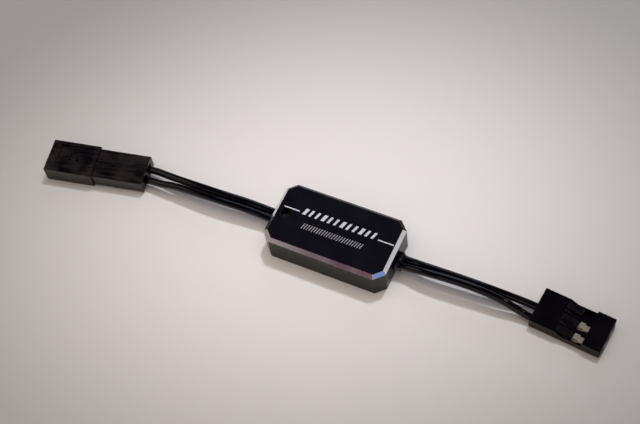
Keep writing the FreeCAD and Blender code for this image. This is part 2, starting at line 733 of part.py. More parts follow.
def make_solder_joints(board_ends):
    """One cone of solder round each board strand, standing on the board's underside."""
    joints = []
    for i, strand in enumerate(board_ends, start=1):
        cone = doc.addObject("Part::Cone", f"solder_cone_{i}")
        cone.setExpression("Radius1", "dims.joint_base / 2")
        cone.setExpression("Radius2", "dims.joint_tip / 2")
        cone.setExpression("Height", "dims.joint_height")
        side = math.copysign(1, strand.Placement.Base.x)
        cone.Placement = FreeCAD.Placement(
            Vector(0, strand.Placement.Base.y, 0), FreeCAD.Rotation(AXIS_X, 180))
        cone.setExpression("Placement.Base.x",
                           f"{side:.0f} * (dims.strip_x - dims.joint_base / 2)")
        cone.setExpression("Placement.Base.z", BOARD_UNDERSIDE)
        joints.append(cut(f"solder_joint_{i}", cone, strand))
    return group("solder_joints", joints)


# ---------------------------------------------------------------- input plug

CELL_PLACES = {"back": 1, "middle": 0, "front": -1}
FINGER_TIP = "(dims.finger_root + dims.finger_length)"
LIP_END = "(dims.finger_root + dims.lip_length)"
CELL_AXIS = "(dims.plug_height / 2)"
CELL_HEIGHT = "(dims.wire_diameter + dims.cell_slack)"


def place_in_plug(body):
    """Move a plug piece from the plug's frame into the row frame."""
    body.Placement = connector_placement("plug")


def make_plug_housing():
    """Three-way servo plug housing.

    Its side profile steps down behind the nose: the rear block ends in a lip and a short ramp,
    and a lower shelf opens the three cells to view.  The latch fingers stand proud of the webs.
    """
    body = new_body("input_plug_housing")
    side = sketch_on(body, "XZ_Plane")
    full, length = "dims.plug_height", "dims.plug_length"
    shelf = f"{full} - dims.shelf_drop"
    outline(side, [
        ("0", "0"), (length, "0"), (length, full), ("dims.nose_start", full),
        ("dims.nose_start", shelf), ("dims.finger_root + dims.web_length", shelf),
        (LIP_END, f"{full} - dims.lip_drop"), ("dims.finger_root", full), ("0", full),
    ])
    pad(body, side, "dims.plug_width", symmetric=True)
    chamfer(body, "dims.plug_bevel",
            lambda edge: runs_along(edge, AXIS_X) and lies_at_height(edge, 0.0))
    nose = size("plug_length")
    fillet(body, "dims.nose_round",
           lambda edge: lies_at_reach(edge, nose) and edge.BoundBox.ZMax > TOLERANCE)

    cells = sketch_on(body, "YZ_Plane")
    for place in CELL_PLACES.values():
        rectangle(cells, f"{place} * dims.contact_pitch", CELL_AXIS,
                  "dims.cell_width", CELL_HEIGHT)
    pocket(body, cells, "dims.plug_length - dims.nose_wall", forwards=True)
    windows = sketch_on(body, "XY_Plane", CELL_AXIS)
    middle = "(dims.finger_root + dims.nose_start) / 2"
    for place in CELL_PLACES.values():
        rectangle(windows, middle, f"{place} * dims.contact_pitch",
                  "dims.nose_start - dims.finger_root", "dims.cell_width")
    pocket(body, windows, forwards=True)
    entries = sketch_on(body, "YZ_Plane")
    for place in CELL_PLACES.values():
        rectangle(entries, f"{place} * dims.contact_pitch", CELL_AXIS,
                  "dims.pin_hole", "dims.pin_hole")
    pocket(body, entries, forwards=True)
    reach = size("contact_pitch") + size("pin_hole")
    chamfer(body, "dims.pin_hole_bevel",
            lambda edge: lies_at_reach(edge, nose)
            and near(edge.BoundBox.DiagonalLength, size("pin_hole"))
            and edge.BoundBox.YMax < reach)
    place_in_plug(body)
    return body


def make_latch_finger(place):
    """One moulded latch finger: it follows the ramp and its hook stands behind a contact."""
    body = new_body(f"latch_finger_{place}")
    side = sketch_on(body, "XZ_Plane")
    full, root, tip = "dims.plug_height", "dims.finger_root", FINGER_TIP
    tip_top = f"{full} - dims.ramp_drop"
    hook_depth = "dims.finger_thickness + dims.finger_hook"
    outline(side, [
        (root, full), (root, f"{full} - dims.finger_thickness"),
        (f"{tip} - 2 * dims.finger_hook", f"{tip_top} - dims.finger_thickness"),
        (f"{tip} - dims.finger_hook", f"{tip_top} - ({hook_depth})"),
        (tip, f"{tip_top} - ({hook_depth})"), (tip, f"{tip_top} - dims.finger_ease"),
        (f"{tip} - dims.finger_ease", tip_top), (LIP_END, f"{full} - dims.lip_drop"),
    ])
    pad(body, side, "dims.finger_width", symmetric=True)
    shift = Vector(0, CELL_PLACES[place] * size("contact_pitch"), 0)
    body.Placement = connector_placement("plug").multiply(
        FreeCAD.Placement(shift, FreeCAD.Rotation()))
    return body


def make_plug_contact(place):
    """Crimped socket contact: barrel round the strands, neck, low box and tall box with its bore.

    The tall box starts just past the finger's hook, which keeps the contact from pulling out.
    """
    body = new_body(f"input_contact_{place}")
    side = sketch_on(body, "XZ_Plane")
    floor = f"{CELL_AXIS} - {CELL_HEIGHT} / 2"
    seat = "dims.plug_wire_seat"
    neck = f"{seat} + dims.barrel_length"
    low_box = f"{neck} + dims.neck_length"
    tall_box = f"{FINGER_TIP} + dims.finger_seat"
    tip = "dims.plug_length - dims.nose_wall - dims.contact_tip_gap"
    barrel_top = f"{CELL_AXIS} + dims.barrel_width / 2"
    top = f"{floor} + dims.contact_height"
    outline(side, [
        (seat, floor), (tip, floor), (tip, top), (tall_box, top),
        (tall_box, f"{floor} + dims.low_box_height"), (low_box, f"{floor} + dims.low_box_height"),
        (low_box, f"{floor} + dims.neck_height"), (neck, f"{floor} + dims.neck_height"),
        (neck, barrel_top), (seat, barrel_top),
    ])
    pad(body, side, "dims.contact_width", symmetric=True)
    # the folded box shows as two offset plates
    steps = sketch_on(body, "XY_Plane", CELL_AXIS)
    half = "dims.contact_width / 2"
    far = f"{tall_box} + dims.box_step_length"
    outline(steps, [(tall_box, f"-{half}"), (far, f"-{half}"),
                    (far, f"-{half} + dims.box_step"), (tall_box, f"-{half} + dims.box_step")])
    outline(steps, [(far, f"{half} - dims.box_step"), (tip, f"{half} - dims.box_step"),
                    (tip, half), (far, half)])
    pocket(body, steps, forwards=True)
    bore = sketch_on(body, "YZ_Plane", tip)
    rectangle(bore, "0", CELL_AXIS, "dims.box_hole", "dims.box_hole")
    pocket(body, bore, "dims.box_hole_depth")
    crimp = sketch_on(body, "YZ_Plane", seat)
    disc(crimp, "0", CELL_AXIS, "dims.strand_diameter + dims.seal_gap")
    pocket(body, crimp, "dims.barrel_length", forwards=True)
    shift = Vector(0, CELL_PLACES[place] * size("contact_pitch"), 0)
    body.Placement = connector_placement("plug").multiply(
        FreeCAD.Placement(shift, FreeCAD.Rotation()))
    return body


# ---------------------------------------------------------------- output socket

SOCKET_AXIS = "(dims.sleeve_height / 2)"
SOCKET_LENGTH = "(dims.rear_length + dims.sleeve_length)"


def make_socket_housing():
    """Two-way socket housing: narrow rear block, wider sleeve with a tray and a latch window."""
    body = new_body("output_socket_housing")
    rear = sketch_on(body, "YZ_Plane")
    rectangle(rear, "0", SOCKET_AXIS, "dims.rear_width", "dims.rear_height")
    pad(body, rear, SOCKET_LENGTH)
    sleeve = sketch_on(body, "YZ_Plane", "dims.rear_length")
    rectangle(sleeve, "0", SOCKET_AXIS, "dims.sleeve_width", "dims.sleeve_height")
    pad(body, sleeve, "dims.sleeve_length")
    fillet(body, "dims.socket_round", lambda edge: runs_along(edge, AXIS_X))

    cells = sketch_on(body, "YZ_Plane")
    for sign in ("-", ""):
        rectangle(cells, f"{sign}dims.contact_pitch / 2", SOCKET_AXIS,
                  "dims.socket_cell", "dims.socket_cell")
    cell_length = f"{SOCKET_LENGTH} - dims.sleeve_depth - dims.bulkhead"
    pocket(body, cells, cell_length, forwards=True)
    entries = sketch_on(body, "YZ_Plane")
    for sign in ("-", ""):
        rectangle(entries, f"{sign}dims.contact_pitch / 2", SOCKET_AXIS,
                  "dims.pin_size + 2 * dims.pin_gap", "dims.pin_size + 2 * dims.pin_gap")
    pocket(body, entries, forwards=True)
    mouth = sketch_on(body, "YZ_Plane", SOCKET_LENGTH)
    rectangle(mouth, "0", SOCKET_AXIS, "dims.sleeve_width - 2 * dims.sleeve_side_wall",
              "dims.sleeve_height - 2 * dims.sleeve_wall")
    pocket(body, mouth, "dims.sleeve_depth")

    tray = sketch_on(body, "XY_Plane", "dims.sleeve_height")
    tray_low = "dims.rear_length + dims.tray_start"
    tray_high = f"{SOCKET_LENGTH} - dims.tray_end"
    rectangle(tray, f"({tray_low} + {tray_high}) / 2", "0", f"{tray_high} - ({tray_low})",
              "dims.sleeve_width - 2 * dims.tray_margin")
    pocket(body, tray, "dims.tray_depth")
    # the latch is a tab of the tray's floor between two slits, with a mark cut beside it
    latch = f"({SOCKET_LENGTH} - dims.latch_from_end)"
    slits = sketch_on(body, "XY_Plane", SOCKET_AXIS)
    for sign in ("-", "+"):
        rectangle(slits, f"{latch} {sign} (dims.latch_tab_length + dims.latch_slit_length) / 2",
                  "0", "dims.latch_slit_length", "dims.latch_slit_width")
    pocket(body, slits, forwards=True)
    mark = sketch_on(body, "XY_Plane", "dims.sleeve_height - dims.tray_depth")
    near_side = "dims.latch_slit_width / 2 + dims.mark_gap"
    half = "dims.mark_length / 2"
    outline(mark, [
        (f"{latch} - {half}", near_side), (latch, f"{near_side} + dims.mark_drop"),
        (f"{latch} + {half}", near_side), (f"{latch} + {half}", f"{near_side} + dims.mark_line"),
        (latch, f"{near_side} + dims.mark_drop + dims.mark_line"),
        (f"{latch} - {half}", f"{near_side} + dims.mark_line"),
    ])
    pocket(body, mark, "dims.mark_depth")
    lances = sketch_on(body, "XY_Plane", SOCKET_AXIS)
    lance_middle = "dims.lance_window_start + dims.lance_window_length / 2"
    for sign in ("-", ""):
        rectangle(lances, lance_middle, f"{sign}dims.contact_pitch / 2",
                  "dims.lance_window_length", "dims.lance_window_width")
    pocket(body, lances)

    key = sketch_on(body, "XY_Plane", f"{SOCKET_AXIS} + dims.rear_height / 2")
    rectangle(key, "dims.key_start + dims.key_length / 2", "(dims.key_back + dims.key_front) / 2",
              "dims.key_length", "dims.key_front - dims.key_back")
    pad(body, key, "dims.key_height")
    key_top = size("sleeve_height") / 2 + size("rear_height") / 2 + size("key_height")
    chamfer(body, "dims.key_bevel",
            lambda edge: runs_along(edge, AXIS_X) and lies_at_height(edge, key_top))
    body.Placement = connector_placement("socket")
    return body


def make_socket_pin(place):
    """Crimped pin contact: barrel round the strands, neck, box and the square pin."""
    body = new_body(f"output_pin_{place}")
    side = sketch_on(body, "XZ_Plane")
    seat = "dims.socket_wire_seat"
    neck = f"{seat} + dims.barrel_length"
    box_start = f"{neck} + dims.neck_length / 2"
    box_end = f"{SOCKET_LENGTH} - dims.sleeve_depth - dims.bulkhead - dims.pin_box_gap"
    tip = f"{SOCKET_LENGTH} - dims.sleeve_depth + dims.pin_length"
    barrel, box_half, pin_half = "dims.barrel_width / 2", "dims.pin_box_height / 2", \
        "dims.pin_size / 2"
    outline(side, [
        (seat, f"{SOCKET_AXIS} - {barrel}"), (neck, f"{SOCKET_AXIS} - {barrel}"),
        (box_start, f"{SOCKET_AXIS} - {box_half}"), (box_end, f"{SOCKET_AXIS} - {box_half}"),
        (box_end, f"{SOCKET_AXIS} - {pin_half}"), (tip, f"{SOCKET_AXIS} - {pin_half}"),
        (tip, f"{SOCKET_AXIS} + {pin_half}"), (box_end, f"{SOCKET_AXIS} + {pin_half}"),
        (box_end, f"{SOCKET_AXIS} + {box_half}"), (box_start, f"{SOCKET_AXIS} + {box_half}"),
        (neck, f"{SOCKET_AXIS} + {barrel}"), (seat, f"{SOCKET_AXIS} + {barrel}"),
    ])
    pad(body, side, "dims.pin_box_width", symmetric=True)
    # a lance bent out of the box's floor stands behind the edge of the housing's window
    lance = sketch_on(body, "XZ_Plane")
    free_end, floor = "dims.lance_window_start + dims.pin_gap", f"{SOCKET_AXIS} - {box_half}"
    bend = f"{free_end} + dims.lance_length"
    outline(lance, [
        (free_end, f"{floor} - dims.lance_drop"),
        (f"{free_end} + dims.lance_thickness", f"{floor} - dims.lance_drop"),
        (bend, floor), (bend, f"{floor} + dims.lance_thickness"),
        (free_end, f"{floor} - dims.lance_drop + dims.lance_thickness"),
    ])
    pad(body, lance, "dims.lance_width", symmetric=True)
    # the stamped strip is as narrow as the pin from the box onwards
    flanks = sketch_on(body, "XY_Plane")
    half = "dims.pin_box_width / 2"
    for sign in ("-", ""):
        centre = f"{sign}(({half} + {pin_half}) / 2)"
        rectangle(flanks, f"({box_end} + {tip}) / 2", centre, f"{tip} - ({box_end})",
                  f"{half} - {pin_half}")
    pocket(body, flanks, forwards=True)
    tip_reach = size("rear_length") + size("sleeve_length") - size("sleeve_depth")
    tip_reach += size("pin_length")
    chamfer(body, "dims.pin_point", lambda edge: lies_at_reach(edge, tip_reach))
    crimp = sketch_on(body, "YZ_Plane", seat)
    disc(crimp, "0", SOCKET_AXIS, "dims.strand_diameter + dims.seal_gap")
    pocket(body, crimp, "dims.barrel_length", forwards=True)
    sign = 1 if place == "back" else -1
    # the socket is turned end for end, so its own +Y side faces the row's -Y side
    shift = Vector(0, -sign * size("contact_pitch") / 2, 0)
    body.Placement = connector_placement("socket").multiply(
        FreeCAD.Placement(shift, FreeCAD.Rotation()))
    return body


# ---------------------------------------------------------------- whole part

def make_all():
    """Build every sub-part and return them in order."""
    nodes = [make_case_shell(), make_bottom_cover(), make_circuit_board(), make_thermal_pad()]
    nodes += make_coil() + make_chip() + make_diode() + make_ceramic_parts() + make_lamp()
    nodes.append(make_seal("input_seal", 1, exit_pitch("input"),
                           "dims.input_collar_length", "dims.input_collar_wall"))
    nodes.append(make_seal("output_seal", -1, exit_pitch("output"),
                           "dims.output_collar_length", "dims.output_collar_wall"))

    pitch = size("contact_pitch")
    input_wires, input_strands, input_board_ends = make_lead(
        "input", 1, plug_point, {"back": 0.0, "front": -pitch},
        {"back": INPUT_BACK_ROUTE, "front": INPUT_FRONT_ROUTE}, size("plug_wire_seat"))
    output_wires, output_strands, output_board_ends = make_lead(
        "output", -1, socket_point, {"back": -pitch / 2, "front": pitch / 2},
        {"back": OUTPUT_BACK_ROUTE, "front": OUTPUT_FRONT_ROUTE}, size("socket_wire_seat"))
    nodes += input_wires + output_wires + [input_strands, output_strands]
    nodes.append(make_solder_joints(input_board_ends + output_board_ends))

    nodes.append(make_plug_housing())
    nodes += [make_latch_finger(place) for place in CELL_PLACES]
    nodes += [make_plug_contact(place) for place in ("middle", "front")]
    nodes.append(make_socket_housing())
    nodes += [make_socket_pin(place) for place in ("back", "front")]
    return nodes


def export(nodes):
    """Check every object of the document and write one STEP file for each sub-part."""
    doc.recompute()
    for item in doc.Objects:
        if {"Invalid", "Error"} & set(item.State):
            raise RuntimeError(f"{item.Label} failed: {item.State}")
    os.makedirs("parts", exist_ok=True)
    for node in nodes:
        shape = node.Shape
        if shape.isNull() or not shape.isValid():
            raise RuntimeError(f"{node.Label}: bad shape")
        shape.exportStep(f"parts/{node.Label}.step")
    print(len(nodes), "nodes written")


export(make_all())
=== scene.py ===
import json
import logging
import math
from dataclasses import dataclass, field
from enum import Enum
from typing import Iterable, Sequence

import bmesh
import bpy
from mathutils import Matrix, Vector, noise


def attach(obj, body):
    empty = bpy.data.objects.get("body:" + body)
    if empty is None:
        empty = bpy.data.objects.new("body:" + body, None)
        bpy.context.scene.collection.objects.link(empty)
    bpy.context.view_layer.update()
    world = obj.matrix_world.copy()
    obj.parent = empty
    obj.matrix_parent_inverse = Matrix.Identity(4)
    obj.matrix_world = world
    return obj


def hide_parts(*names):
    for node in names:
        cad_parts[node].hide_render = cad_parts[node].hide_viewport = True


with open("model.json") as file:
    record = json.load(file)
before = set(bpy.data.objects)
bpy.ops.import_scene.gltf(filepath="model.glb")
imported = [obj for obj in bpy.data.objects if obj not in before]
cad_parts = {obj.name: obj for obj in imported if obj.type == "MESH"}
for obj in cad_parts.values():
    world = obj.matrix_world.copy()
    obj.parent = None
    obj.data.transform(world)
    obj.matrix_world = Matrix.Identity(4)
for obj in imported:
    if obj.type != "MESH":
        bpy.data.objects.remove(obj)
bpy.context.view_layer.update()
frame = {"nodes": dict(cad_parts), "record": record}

logging.basicConfig(level=logging.INFO, format="%(message)s")
log = logging.getLogger("booster")

MM = 0.001
BODY = "module"
CASE_LENGTH = 25.6      # millimetres
SLOT_HEIGHT = 2.65      # middle of the wires' slots above the table
Point = tuple[float, float, float]


# ------------------------------------------------------------------ helpers

def linear(colour: str) -> tuple[float, float, float, float]:
    """Turn an sRGB hex colour into linear RGBA.

    Args:
        colour: six hex digits after a hash, such as "#1a1c22".

    Returns:
        Red, green, blue and alpha for a shader socket.
    """
    parts = [int(colour[i:i + 2], 16) / 255 for i in (1, 3, 5)]
    red, green, blue = (
        part / 12.92 if part <= 0.04045 else ((part + 0.055) / 1.055) ** 2.4 for part in parts
    )
    return red, green, blue, 1.0


def per_mm(width: float) -> float:
    """Texture scale, in object metres, whose features are about this many millimetres wide."""
    return 1.0 / (width * MM)


def add_node(tree: bpy.types.NodeTree, kind: str, inputs: dict | None = None,
             **settings: object) -> bpy.types.Node:
    """Add one shader node.

    Args:
        tree: the node tree that gets it.
        kind: the node's type name.
        inputs: socket name or number to a value, or to the output socket that feeds it.
        **settings: properties of the node itself.

    Returns:
        The new node.
    """
    node = tree.nodes.new(kind)
    for name, value in settings.items():
        setattr(node, name, value)
    for name, value in (inputs or {}).items():
        if isinstance(value, bpy.types.NodeSocket):
            tree.links.new(value, node.inputs[name])
        else:
            node.inputs[name].default_value = value
    return node


def mesh_object(name: str, shape: bmesh.types.BMesh) -> bpy.types.Object:
    """Turn a bmesh into an object of the scene and free the bmesh.

    Args:
        name: the object's name.
        shape: the bmesh, in metres.

    Returns:
        The new object.
    """
    bmesh.ops.recalc_face_normals(shape, faces=shape.faces)
    mesh = bpy.data.meshes.new(name)
    shape.to_mesh(mesh)
    shape.free()
    made = bpy.data.objects.new(name, mesh)
    bpy.context.scene.collection.objects.link(made)
    return made


def loft(rings: Sequence[Sequence[Vector]], material_rows: Sequence[int] = (),
         capped: bool = True) -> bmesh.types.BMesh:
    """Skin a row of rings that have the same number of points.

    Args:
        rings: closed rings of points in millimetres, in order.
        material_rows: material number for the faces between each two rings.
        capped: whether the first and the last ring are closed.

    Returns:
        A bmesh in metres.
    """
    shape = bmesh.new()
    rows = [[shape.verts.new(point * MM) for point in ring] for ring in rings]
    for number, (low, high) in enumerate(zip(rows, rows[1:])):
        for i in range(len(low)):
            after = (i + 1) % len(low)
            face = shape.faces.new((low[i], low[after], high[after], high[i]))
            if number < len(material_rows):
                face.material_index = material_rows[number]
    if capped:
        shape.faces.new(list(reversed(rows[0])))
        shape.faces.new(rows[-1])
    return shape


def soften(piece: bpy.types.Object, width: float, segments: int = 2, angle: float = 28.0,
           weld: bool = False) -> None:
    """Round a piece's sharp edges as machining or moulding leaves them.

    Args:
        piece: the mesh object.
        width: width of the rounded edge, in millimetres.
        segments: faces across it.
        angle: edges sharper than this many degrees are rounded.
        weld: whether split vertices are joined first, as a CAD node's need to be.
    """
    if weld:
        join = piece.modifiers.new("join", "WELD")
        join.merge_threshold = 0.0005 * MM
    bevel = piece.modifiers.new("edges", "BEVEL")
    bevel.limit_method = "ANGLE"
    bevel.angle_limit = math.radians(angle)
    bevel.width = width * MM
    bevel.segments = segments
    bevel.use_clamp_overlap = True
    bevel.harden_normals = True


def carve(piece: bpy.types.Object, tools: Iterable[bpy.types.Object]) -> None:
    """Cut closed tools out of a piece for good, and remove the tools.

    Args:
        piece: the mesh object that is cut.
        tools: closed mesh objects, each cut out in turn.
    """
    tools = list(tools)
    for tool in tools:
        cut = piece.modifiers.new("cut", "BOOLEAN")
        cut.operation = "DIFFERENCE"
        cut.solver = "EXACT"
        cut.object = tool
    bpy.context.view_layer.update()
    graph = bpy.context.evaluated_depsgraph_get()
    carved = bpy.data.meshes.new_from_object(piece.evaluated_get(graph))
    piece.modifiers.clear()
    piece.data = carved
    for tool in tools:
        bpy.data.objects.remove(tool)


# ------------------------------------------------------------------ finishes

@dataclass(frozen=True)
class Finish:
    """A procedural finish: the real material's values, and a fine pattern at its real scale."""

    name: str
    colour: str
    metallic: float = 0.0
    roughness: float = 0.5
    ior: float = 1.5
    grain_mm: float = 0.1          # size of the surface's grain
    grain_height_um: float = 1.0   # how far the grain stands up, in thousandths of a millimetre
    stretch: tuple[float, float, float] = (1.0, 1.0, 1.0)   # grain length along each axis
    turn: float = 0.0              # degrees that the grain's length is turned about Z
    roughness_spread: float = 0.08
    shade_spread: float = 0.15     # how much lighter and darker the colour gets
    coat: float = 0.0
    coat_roughness: float = 0.1
    specular: float = 0.5          # 0.5 is a clean surface; dye, soot or matting agent dulls it

    def build(self) -> bpy.types.Material:
        """Make the material once.

        Returns:
            The Blender material of this finish.
        """
        found = bpy.data.materials.get(self.name)
        if found:
            return found
        material = bpy.data.materials.new(self.name)
        material.use_nodes = True
        tree = material.node_tree
        tree.nodes.clear()
        place = add_node(tree, "ShaderNodeTexCoord").outputs["Object"]
        scaled = add_node(tree, "ShaderNodeMapping", {"Vector": place}, vector_type="TEXTURE")
        scaled.inputs["Rotation"].default_value = (0.0, 0.0, math.radians(self.turn))
        scaled.inputs["Scale"].default_value = [
            self.grain_mm * MM * length for length in self.stretch]
        grain = add_node(tree, "ShaderNodeTexNoise",
                         {"Vector": scaled.outputs[0], "Scale": 1.0, "Detail": 3.0})
        broad = add_node(tree, "ShaderNodeTexNoise",
                         {"Vector": place, "Scale": per_mm(4.0), "Detail": 2.0})
        colour = self.colour_socket(tree, grain.outputs[0], broad.outputs[0])
        rough = add_node(tree, "ShaderNodeMapRange", {
            "Value": broad.outputs[0], "From Min": 0.3, "From Max": 0.7,
            "To Min": max(0.02, self.roughness - self.roughness_spread),
            "To Max": min(1.0, self.roughness + self.roughness_spread)})
        bump = add_node(tree, "ShaderNodeBump", {
            "Height": grain.outputs[0], "Strength": 1.0,
            "Distance": self.grain_height_um * 1e-6})
        shader = add_node(tree, "ShaderNodeBsdfPrincipled", {
            "Base Color": colour, "Metallic": self.metallic, "Roughness": rough.outputs[0],
            "IOR": self.ior, "Normal": bump.outputs[0], "Coat Weight": self.coat,
            "Coat Roughness": self.coat_roughness, "Specular IOR Level": self.specular})
        add_node(tree, "ShaderNodeOutputMaterial", {"Surface": shader.outputs[0]})
        return material

    def colour_socket(self, tree: bpy.types.NodeTree, grain: bpy.types.NodeSocket,
                      broad: bpy.types.NodeSocket) -> bpy.types.NodeSocket:
        """Vary the base colour a little, as a real surface does.

        Args:
            tree: the material's node tree.
            grain: output of the fine pattern.
            broad: output of the slow pattern.

        Returns:
            The socket that carries the colour.
        """
        red, green, blue, _ = linear(self.colour)
        low, high = 1 - self.shade_spread, 1 + self.shade_spread
        mixed = add_node(tree, "ShaderNodeMath", {0: grain, 1: broad}, operation="ADD")
        share = add_node(tree, "ShaderNodeMapRange", {
            "Value": mixed.outputs[0], "From Min": 0.8, "From Max": 1.2})
        blend = add_node(tree, "ShaderNodeMix", {"Factor": share.outputs[0]}, data_type="RGBA")
        blend.inputs[6].default_value = (red * low, green * low, blue * low, 1.0)
        blend.inputs[7].default_value = (red * high, green * high, blue * high, 1.0)
        return blend.outputs[2]


# Satin black anodised aluminium, milled and bead blasted: a dark sheen with a trace of blue.
ANODISED = Finish("AnodisedAluminium_SatinBlack", "#0c0c12", roughness=0.28, ior=1.5,
                  specular=0.2,
                  grain_mm=0.12, grain_height_um=0.8, roughness_spread=0.05)
# Bevels cut with a diamond tool after anodising: bare metal that mirrors the room softly.
BRIGHT_CUT = Finish("BrightCutAluminium", "#dcdce0", metallic=1.0, roughness=0.14,
                    grain_mm=0.05, grain_height_um=0.1, stretch=(8.0, 8.0, 1.0),
                    roughness_spread=0.03, shade_spread=0.05)
# Anodised cover plate, rolled: a slightly coarser sheen along its length.
COVER_PLATE = Finish("AnodisedAluminium_RolledPlate", "#15151a", roughness=0.42, ior=1.55,
                     grain_mm=0.1, grain_height_um=1.2, stretch=(12.0, 1.0, 1.0))
# Pad-printed white ink: matt, thin, a little uneven at its edges.
PRINT_INK = Finish("PadPrintInk_White", "#cacad0", roughness=0.55, grain_mm=0.15,
                   shade_spread=0.06)
# The same ink printed thin: the black below shows through and greys it.
PRINT_INK_THIN = Finish("PadPrintInk_Grey", "#8f8d93", roughness=0.55, grain_mm=0.15,
                        shade_spread=0.12)
# Soft PVC wire insulation, extruded: smooth and glossy with a faint draw line.
WIRE_PVC = Finish("WireInsulation_GlossBlack", "#020103", roughness=0.1, ior=1.5,
                  specular=0.38,
                  grain_mm=0.35, grain_height_um=2.0, stretch=(6.0, 1.0, 1.0),
                  roughness_spread=0.02)
# Black silicone sealant, cured in place: wet-looking and lumpy.
SEALANT = Finish("SiliconeSealant_Black", "#07060a", roughness=0.1, ior=1.45,
                 grain_mm=0.5, grain_height_um=25.0, roughness_spread=0.03)
# Glass-filled PBT, injection moulded with an eroded texture: dark and matt, with a grain of
# about a tenth of a millimetre.
PLUG_PBT = Finish("MouldedPBT_MattBlack", "#040205", roughness=0.3, ior=1.5, specular=0.2,
                  grain_mm=0.09, grain_height_um=1.5, roughness_spread=0.06)
# Nylon, moulded in a polished tool: brownish black with flow streaks along the part. The
# streaks are drawn as coarse as they need to show.
SOCKET_NYLON = Finish("MouldedNylon_SemiGloss", "#16100f", roughness=0.24, ior=1.5, specular=0.4,
                      grain_mm=0.42, grain_height_um=9.0, stretch=(11.0, 1.0, 1.0), turn=11.29,
                      roughness_spread=0.14, shade_spread=0.92)
# Tin plate on phosphor bronze, stamped: bright, with fine rolling lines and a little of the
# bronze's warmth.
TIN = Finish("TinPlate_Stamped", "#f0e2bd", metallic=1.0, roughness=0.52, grain_mm=0.06,
             grain_height_um=0.3, stretch=(6.0, 1.0, 1.0), roughness_spread=0.08)
# Tin solder, flowed and set: a bright skin with soft waves.
SOLDER = Finish("Solder_TinSilver", "#c9c8c5", metallic=1.0, roughness=0.24, grain_mm=0.3,
                grain_height_um=6.0)
# Tinned copper strands, twisted: pinkish silver with a line for each strand.
COPPER_STRANDS = Finish("CopperStrands_Tinned", "#c79f7e", metallic=1.0, roughness=0.35,
                        grain_mm=0.12, grain_height_um=12.0, stretch=(9.0, 1.0, 1.0))
# Enamelled copper wire, wound: glossy red brown turns.
MAGNET_WIRE = Finish("MagnetWire_Enamelled", "#9a4a1e", metallic=0.8, roughness=0.28,
                     grain_mm=0.15, grain_height_um=20.0, stretch=(6.0, 6.0, 1.0))
# Epoxy solder mask, screened: black with a trace of green, glossy over the tracks.
BOARD_MASK = Finish("SolderMask_Black", "#0b120e", roughness=0.32, grain_mm=0.4,
                    grain_height_um=3.0, coat=0.5)
# Filled silicone pad, cast: blue grey, soft and matt.
HEAT_PAD = Finish("ThermalPad_Silicone", "#8094a6", roughness=0.75, ior=1.41, grain_mm=0.2,
                 grain_height_um=8.0)
# Ferrite, pressed and sintered: dull dark grey with a fine grain.
FERRITE = Finish("Ferrite_Sintered", "#2b2b2e", roughness=0.6, grain_mm=0.15,
                 grain_height_um=4.0)
# Moulded chip epoxy: matt black with a fine pitted skin.
EPOXY = Finish("ChipEpoxy_Black", "#1b1b1d", roughness=0.55, grain_mm=0.06,
               grain_height_um=2.0)
# Barium titanate ceramic, fired: plain tan.
CAPACITOR = Finish("CapacitorCeramic_Tan", "#a0784d", roughness=0.5, grain_mm=0.1)
# Glass glaze on a chip resistor, fired: smooth black.
RESISTOR = Finish("ResistorGlaze_Black", "#1c1d22", roughness=0.25, grain_mm=0.1)
# Lamp base, plain and matt: its colour is darkened to dark grey as painted shade from the deep
# hole above it.
LAMP_BASE = Finish("LampBase_PaintedShade", "#45443f", roughness=0.45, grain_mm=0.1)
# Epoxy over the lamp, cast and glossy: its colour is darkened nearly to black as painted shade
# from the deep hole above it.
LAMP_LENS = Finish("LampEpoxy_PaintedShade", "#1c1b17", roughness=0.15, ior=1.52, grain_mm=0.3)

SLOT_FINISHES: dict[str, Finish] = {
    "case": ANODISED, "cover": COVER_PLATE, "board": BOARD_MASK, "thermal_pad": HEAT_PAD,
    "ferrite": FERRITE, "magnet_wire": MAGNET_WIRE, "mould": EPOXY, "tin": TIN,
    "ceramic_tan": CAPACITOR, "resistor": RESISTOR, "lamp": LAMP_BASE, "lens": LAMP_LENS,
    "seal": SEALANT, "wire": WIRE_PVC, "strand": COPPER_STRANDS, "solder": SOLDER,
    "plug": PLUG_PBT, "socket": SOCKET_NYLON, "contact": TIN,
}


def dress(piece: bpy.types.Object, *finishes: Finish) -> None:
    """Give a piece its finishes.

    Args:
        piece: the mesh or curve object.
        *finishes: one finish for each material number, in order.
    """
    slots = piece.data.materials
    for number, finish in enumerate(finishes):
        if number < len(slots):
            slots[number] = finish.build()
        else:
            slots.append(finish.build())


# ------------------------------------------------------------------ case

